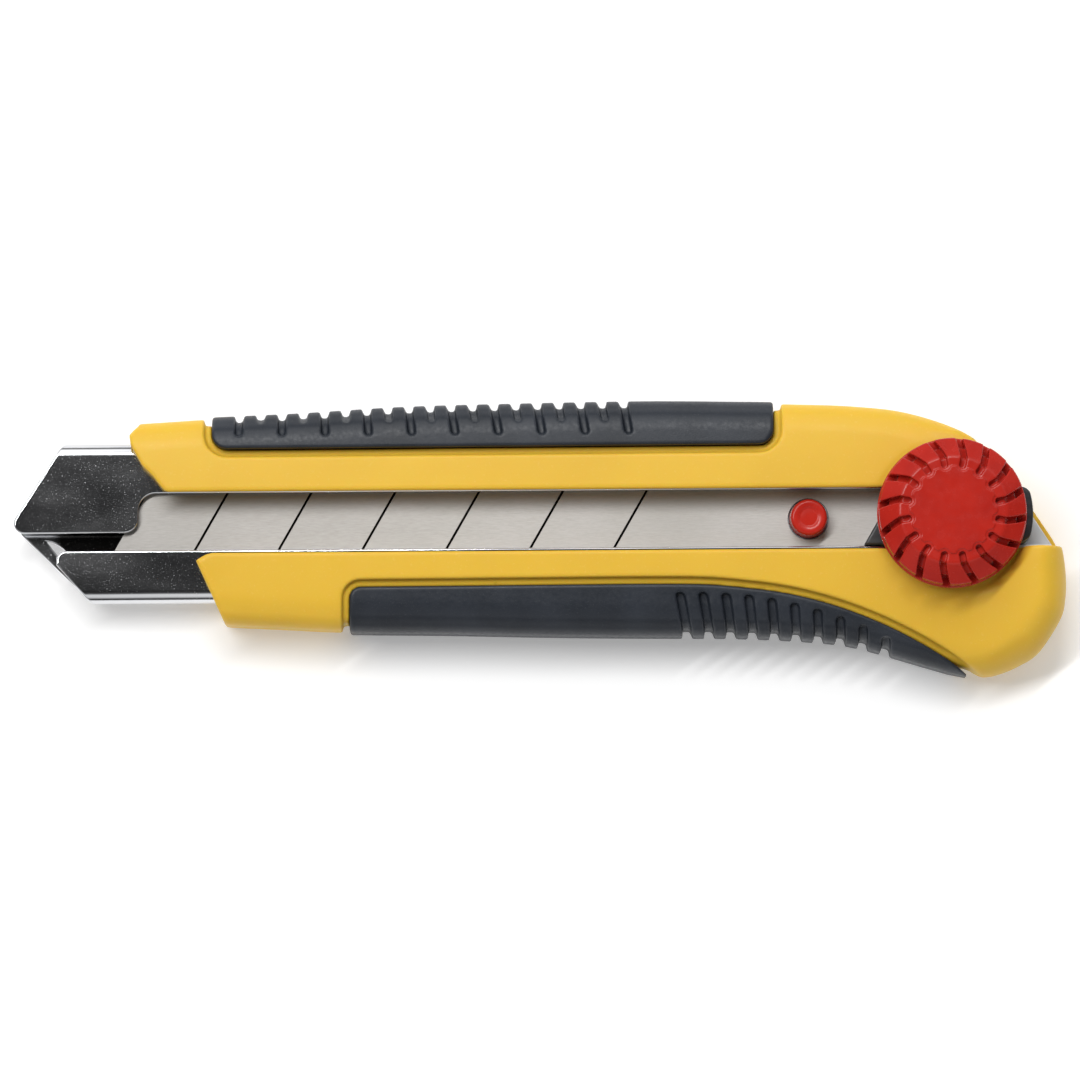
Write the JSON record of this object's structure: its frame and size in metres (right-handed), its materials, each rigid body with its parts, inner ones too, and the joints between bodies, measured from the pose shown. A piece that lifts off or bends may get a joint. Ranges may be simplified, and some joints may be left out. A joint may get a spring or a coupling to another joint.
{
  "type": "utility knife",
  "caption": "Snap-off utility knife with a steel blade channel, a moulded handle with rubber grips, and a screw wheel that locks the sliding blade.",
  "frame": {"origin": "under the middle of the knife's box, on the plane of its flat back", "axes": "+X from the nose to the tail, +Y from the blade's cutting edge to its spine, +Z from the back to the lock wheel"},
  "size_m": [0.1752, 0.0464, 0.0228],
  "materials": {
    "yellow_plastic": "satin moulded ABS",
    "black_rubber": "matte moulded rubber",
    "black_plastic": "fine moulded",
    "red_plastic": "semi-gloss moulded",
    "polished_steel": "polished, lightly scratched",
    "blade_steel": "satin ground",
    "zinc_steel": "zinc plated",
    "brass": "turned"
  },
  "bodies": {
    "handle": {"handle_body": "yellow_plastic", "upper_grip": "black_rubber", "lower_grip": "black_rubber", "blade_sheath": "polished_steel", "sheath_rivet_front": "zinc_steel", "sheath_rivet_rear": "zinc_steel"},
    "slider": {"snap_off_blade": "blade_steel", "clamp_plate": "zinc_steel", "blade_pin": "red_plastic", "lock_stud": "zinc_steel", "slider_block": "black_plastic"},
    "clamp": {"clamp_washer": "zinc_steel", "wave_washer": "blade_steel"},
    "wheel": {"lock_wheel": "red_plastic", "wheel_nut": "brass"}
  },
  "joints": [
    {"name": "blade_slide", "type": "slide", "parent": "handle", "child": "slider", "axis": [-1, 0, 0], "range_m": [0, 0.105]},
    {"name": "clamp_lift", "type": "slide", "parent": "slider", "child": "clamp", "axis": [0, 0, 1], "range_m": [0, 0.0016]},
    {"name": "wheel_turn", "type": "hinge", "parent": "clamp", "child": "wheel", "pos_m": [0.06833, 0.00351, 0.0149], "axis": [0, 0, 1], "range_deg": [0, 540]}
  ],
  "couplings": [
    {"joint": "clamp_lift", "follows": "wheel_turn", "m_per_rad": 0.00015915}
  ]
}
